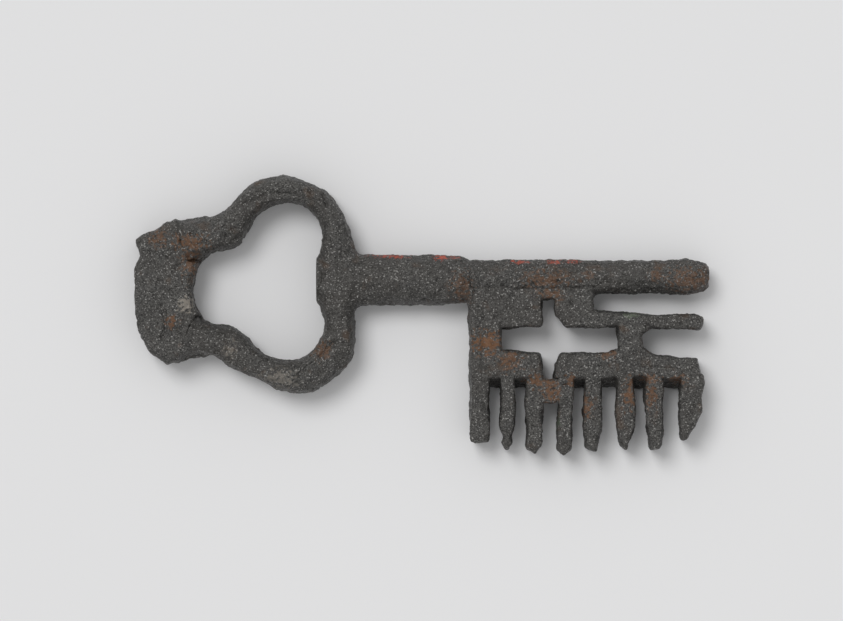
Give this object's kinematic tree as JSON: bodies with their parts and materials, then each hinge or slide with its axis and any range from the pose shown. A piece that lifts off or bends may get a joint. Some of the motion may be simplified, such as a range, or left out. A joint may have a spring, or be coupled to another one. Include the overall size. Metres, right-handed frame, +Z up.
{
  "type": "forged iron key",
  "caption": "Large forged iron key with a kidney-shaped bow, a stepped round shank and a comb bit with ward cuts.",
  "frame": {"origin": "centre of the flat tip face of the shank", "axes": "+X out of the tip along the shank, the bit hangs to -Y, +Z up out of the face seen from above"},
  "size_m": [0.1403, 0.0681, 0.0116],
  "materials": {
    "shank_iron": "corroded, granular",
    "bow_iron": "corroded, granular",
    "crown_iron": "corroded, scaled",
    "bit_iron": "corroded, rusty"
  },
  "bodies": {
    "root": {"shank": "shank_iron", "bow_loop": "bow_iron", "bow_crown": "crown_iron", "bit": "bit_iron"}
  },
  "joints": []
}
